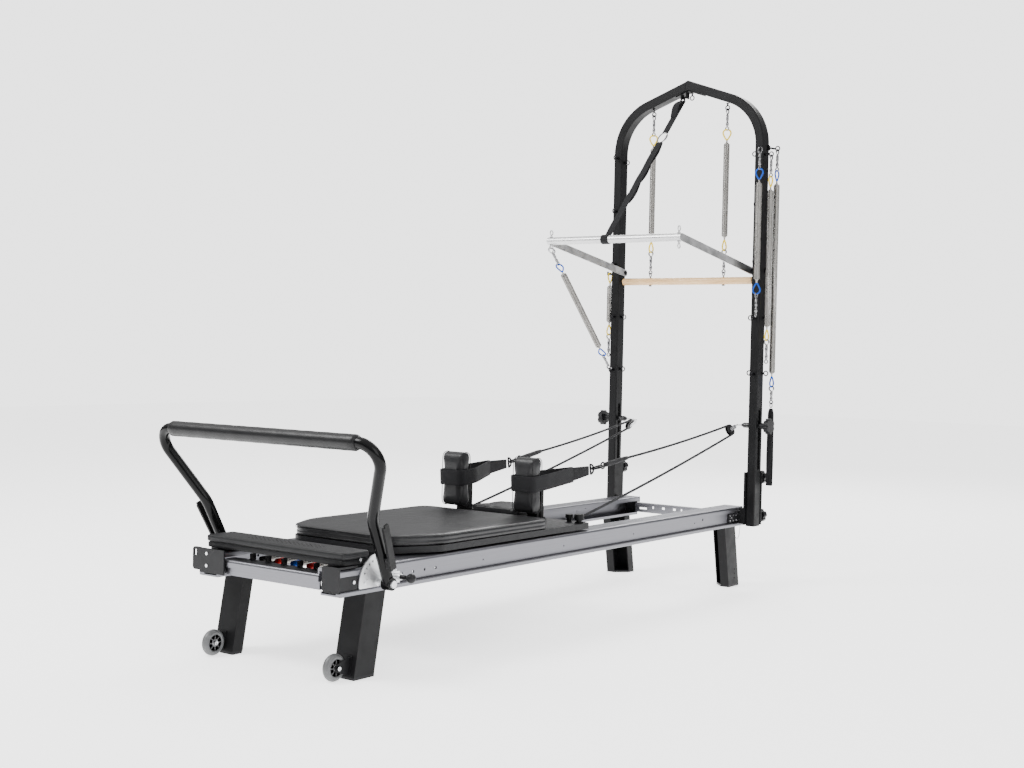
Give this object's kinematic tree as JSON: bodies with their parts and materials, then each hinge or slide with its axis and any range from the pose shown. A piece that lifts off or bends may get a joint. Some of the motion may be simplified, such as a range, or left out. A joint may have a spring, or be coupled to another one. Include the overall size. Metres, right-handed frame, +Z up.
{
  "type": "pilates reformer",
  "caption": "Pilates reformer with a sliding upholstered carriage, footbar, ropes and pulleys, and a spring tower with push-through and roll-down bars.",
  "frame": {"origin": "on the floor under the middle of the machine's overall box", "axes": "+Y runs from the foot end to the tower, +X is the right side seen from the foot end looking at the tower, +Z is up"},
  "size_m": [0.9298, 2.5211, 2.1],
  "materials": {
    "satin_aluminium": "satin, extruded",
    "black_coat": "satin powder coat",
    "gloss_black": "gloss powder coat",
    "polished_steel": "polished",
    "nickel_spring": "bright drawn wire",
    "black_plastic": "moulded",
    "grey_wheel": "cast polyurethane",
    "black_vinyl": "grained upholstery vinyl",
    "grip_foam": "closed-cell foam grip",
    "black_webbing": "woven nylon",
    "black_rope": "braided",
    "light_maple": "clear lacquer",
    "base_board": "black laminate board"
  },
  "bodies": {
    "root": {"carriage_springs": "nickel_spring", "corner_fittings": "black_plastic", "foot_beam": "satin_aluminium", "foot_caps": "black_plastic", "frame_screws": "polished_steel", "front_legs": "black_coat", "head_beam": "satin_aluminium", "lanyard_left": "nickel_spring", "lanyard_right": "nickel_spring", "pulling_ropes": "black_rope", "rail_left": "satin_aluminium", "rail_right": "satin_aluminium", "rear_legs": "black_coat", "spring_bar": "black_coat", "standing_platform": "grip_foam", "tower_eyebolts": "polished_steel", "tower_peak_joint": "black_coat", "tower_sockets": "black_coat", "tower_tube_left": "black_coat", "tower_tube_right": "black_coat"},
    "front_wheel_right": {"front_wheel_right": "grey_wheel"},
    "front_wheel_left": {"front_wheel_left": "grey_wheel"},
    "footbar_carrier": {"footbar_quadrants": "polished_steel"},
    "footbar": {"footbar_tube": "gloss_black", "footbar_grip": "grip_foam"},
    "lever_right": {"lever_right": "black_coat"},
    "lever_left": {"lever_left": "black_coat"},
    "plunger_right": {"plunger_right": "black_plastic"},
    "plunger_left": {"plunger_left": "black_plastic"},
    "carriage": {"carriage_mat": "black_vinyl", "carriage_board": "base_board", "carriage_frame": "black_coat", "shoulder_posts": "black_coat", "shoulder_rests": "black_vinyl", "padded_loops": "black_webbing", "rope_ends": "polished_steel"},
    "carriage_wheels_foot_end": {"carriage_wheels_foot_end": "grey_wheel"},
    "carriage_wheels_head_end": {"carriage_wheels_head_end": "grey_wheel"},
    "headrest": {"headrest": "black_vinyl"},
    "tower_knob_lower_right": {"tower_knob_lower_right": "black_plastic"},
    "tower_knob_lower_left": {"tower_knob_lower_left": "black_plastic"},
    "tower_knob_upper_right": {"tower_knob_upper_right": "black_plastic"},
    "tower_knob_upper_left": {"tower_knob_upper_left": "black_plastic"},
    "pulley_riser_right": {"pulley_riser_right": "polished_steel"},
    "riser_knob_right": {"riser_knob_right": "black_plastic"},
    "pulley_sheave_right": {"pulley_sheave_right": "black_plastic"},
    "pulley_riser_left": {"pulley_riser_left": "polished_steel"},
    "riser_knob_left": {"riser_knob_left": "black_plastic"},
    "pulley_sheave_left": {"pulley_sheave_left": "black_plastic"},
    "push_bar": {"push_through_bar": "satin_aluminium"},
    "safety_strap": {"safety_strap": "black_webbing"},
    "bar_spring_lower": {"bar_spring": "nickel_spring"},
    "bar_spring_upper": {"bar_spring_hook": "nickel_spring"},
    "roll_down_springs": {"roll_down_springs": "nickel_spring"},
    "roll_down_bar": {"roll_down_bar": "light_maple"},
    "blue_spring": {"blue_spring": "nickel_spring"},
    "yellow_spring_right": {"yellow_spring_right": "nickel_spring"},
    "yellow_spring_left": {"yellow_spring_left": "nickel_spring"},
    "handle_spring": {"handle_spring": "nickel_spring"},
    "strap_handle": {"strap_handle": "black_webbing"}
  },
  "joints": [
    {"name": "front_wheel_right_spin", "type": "hinge", "parent": "root", "child": "front_wheel_right", "pos_m": [0.256, -1.1774, 0.04], "axis": [1, 0, 0], "continuous": true},
    {"name": "front_wheel_left_spin", "type": "hinge", "parent": "root", "child": "front_wheel_left", "pos_m": [-0.256, -1.1774, 0.04], "axis": [1, 0, 0], "continuous": true},
    {"name": "footbar_carrier_slide", "type": "slide", "parent": "root", "child": "footbar_carrier", "axis": [0, 1, 0], "range_m": [0, 0.209]},
    {"name": "footbar_tilt", "type": "hinge", "parent": "footbar_carrier", "child": "footbar", "pos_m": [0.333, -1.0364, 0.272], "axis": [1, 0, 0], "range_deg": [-50, 60]},
    {"name": "lever_right_squeeze", "type": "hinge", "parent": "footbar", "child": "lever_right", "pos_m": [0.362, -1.06481, 0.33157], "axis": [0, 0.9026, 0.4305], "range_deg": [-6, 0], "stiffness_Nm_per_rad": 3},
    {"name": "lever_left_squeeze", "type": "hinge", "parent": "footbar", "child": "lever_left", "pos_m": [-0.362, -1.06481, 0.33157], "axis": [0, 0.9026, 0.4305], "range_deg": [0, 6], "stiffness_Nm_per_rad": 3},
    {"name": "plunger_right_pull", "type": "slide", "parent": "footbar_carrier", "child": "plunger_right", "axis": [1, 0, 0], "range_m": [0, 0.012], "stiffness_N_per_m": 300},
    {"name": "plunger_left_pull", "type": "slide", "parent": "footbar_carrier", "child": "plunger_left", "axis": [-1, 0, 0], "range_m": [0, 0.012], "stiffness_N_per_m": 300},
    {"name": "carriage_slide", "type": "slide", "parent": "root", "child": "carriage", "axis": [0, 1, 0], "range_m": [0, 0.68], "deforming": ["carriage_springs", "pulling_ropes"]},
    {"name": "carriage_wheels_foot_end_roll", "type": "hinge", "parent": "carriage", "child": "carriage_wheels_foot_end", "pos_m": [0, -0.7714, 0.2793], "axis": [1, 0, 0], "continuous": true},
    {"name": "carriage_wheels_head_end_roll", "type": "hinge", "parent": "carriage", "child": "carriage_wheels_head_end", "pos_m": [0, -0.0364, 0.2793], "axis": [1, 0, 0], "continuous": true},
    {"name": "headrest_tilt", "type": "hinge", "parent": "carriage", "child": "headrest", "pos_m": [0, -0.1374, 0.3505], "axis": [1, 0, 0], "range_deg": [0, 30]},
    {"name": "tower_knob_lower_right_turn", "type": "hinge", "parent": "root", "child": "tower_knob_lower_right", "pos_m": [0.342, 1.2366, 0.2857], "axis": [0, 1, 0], "continuous": true},
    {"name": "tower_knob_lower_left_turn", "type": "hinge", "parent": "root", "child": "tower_knob_lower_left", "pos_m": [-0.342, 1.2366, 0.2857], "axis": [0, 1, 0], "continuous": true},
    {"name": "tower_knob_upper_right_turn", "type": "hinge", "parent": "root", "child": "tower_knob_upper_right", "pos_m": [0.342, 1.2366, 0.4445], "axis": [0, 1, 0], "continuous": true},
    {"name": "tower_knob_upper_left_turn", "type": "hinge", "parent": "root", "child": "tower_knob_upper_left", "pos_m": [-0.342, 1.2366, 0.4445], "axis": [0, 1, 0], "continuous": true},
    {"name": "pulley_riser_right_height", "type": "slide", "parent": "root", "child": "pulley_riser_right", "axis": [0, 0, 1], "range_m": [-0.165, 0.055], "deforming": ["pulling_ropes"]},
    {"name": "riser_knob_right_turn", "type": "hinge", "parent": "pulley_riser_right", "child": "riser_knob_right", "pos_m": [0.394, 1.1856, 0.66], "axis": [1, 0, 0], "continuous": true},
    {"name": "pulley_sheave_right_spin", "type": "hinge", "parent": "pulley_riser_right", "child": "pulley_sheave_right", "pos_m": [0.2452, 1.1506, 0.6384], "axis": [0.9072, -0.1028, 0.4079], "continuous": true},
    {"name": "pulley_riser_left_height", "type": "slide", "parent": "root", "child": "pulley_riser_left", "axis": [0, 0, 1], "range_m": [-0.165, 0.055], "deforming": ["pulling_ropes"]},
    {"name": "riser_knob_left_turn", "type": "hinge", "parent": "pulley_riser_left", "child": "riser_knob_left", "pos_m": [-0.394, 1.1856, 0.66], "axis": [1, 0, 0], "continuous": true},
    {"name": "pulley_sheave_left_spin", "type": "hinge", "parent": "pulley_riser_left", "child": "pulley_sheave_left", "pos_m": [-0.2452, 1.1506, 0.6384], "axis": [0.9072, 0.1028, -0.4079], "continuous": true},
    {"name": "push_bar_raise", "type": "hinge", "parent": "root", "child": "push_bar", "pos_m": [0, 1.1856, 1.295], "axis": [-1, 0, 0], "range_deg": [0, 45]},
    {"name": "safety_strap_swing", "type": "hinge", "parent": "root", "child": "safety_strap", "pos_m": [-0.028, 1.1726, 2.03265], "axis": [-1, 0, 0], "range_deg": [0, 9.99], "deforming": ["safety_strap"]},
    {"name": "bar_spring_swing", "type": "hinge", "parent": "root", "child": "bar_spring_lower", "pos_m": [-0.342, 1.1366, 0.872], "axis": [-1, 0, 0], "range_deg": [0, 28.84], "deforming": ["bar_spring"]},
    {"name": "bar_spring_stretch", "type": "slide", "parent": "bar_spring_lower", "child": "bar_spring_upper", "axis": [0, -0.7311, 0.6822], "range_m": [0, 0.2177]},
    {"name": "roll_down_swing", "type": "hinge", "parent": "root", "child": "roll_down_springs", "pos_m": [0, 1.1856, 1.96482], "axis": [1, 0, 0], "range_deg": [-15, 30]},
    {"name": "roll_down_pull", "type": "slide", "parent": "roll_down_springs", "child": "roll_down_bar", "axis": [0, 0, -1], "range_m": [0, 0.12], "stiffness_N_per_m": 80, "springref_m": -0.12, "deforming": ["roll_down_springs"]},
    {"name": "blue_spring_swing", "type": "hinge", "parent": "root", "child": "blue_spring", "pos_m": [0.366, 1.1206, 1.794], "axis": [0.9, 0.436, 0], "range_deg": [-60, 0]},
    {"name": "yellow_spring_right_swing", "type": "hinge", "parent": "root", "child": "yellow_spring_right", "pos_m": [0.39, 1.1746, 1.768], "axis": [0, 1, 0], "range_deg": [-30, 0]},
    {"name": "yellow_spring_left_swing", "type": "hinge", "parent": "root", "child": "yellow_spring_left", "pos_m": [-0.378, 1.1746, 1.29], "axis": [1, 0, 0], "range_deg": [-30, 0]},
    {"name": "handle_spring_swing", "type": "hinge", "parent": "root", "child": "handle_spring", "pos_m": [0.386, 1.2366, 1.789], "axis": [1, 0, 0], "range_deg": [0, 30]},
    {"name": "strap_handle_swing", "type": "hinge", "parent": "handle_spring", "child": "strap_handle", "pos_m": [0.386, 1.2366, 0.7504], "axis": [1, 0, 0], "range_deg": [0, 30]}
  ],
  "couplings": [
    {"joint": "carriage_wheels_foot_end_roll", "follows": "carriage_slide", "rad_per_m": -35.714},
    {"joint": "carriage_wheels_head_end_roll", "follows": "carriage_slide", "rad_per_m": -35.714},
    {"joint": "safety_strap_swing", "follows": "push_bar_raise", "ratio": 0.2114},
    {"joint": "bar_spring_swing", "follows": "push_bar_raise", "ratio": 0.61046},
    {"joint": "bar_spring_stretch", "follows": "push_bar_raise", "m_per_rad": 0.26907}
  ]
}
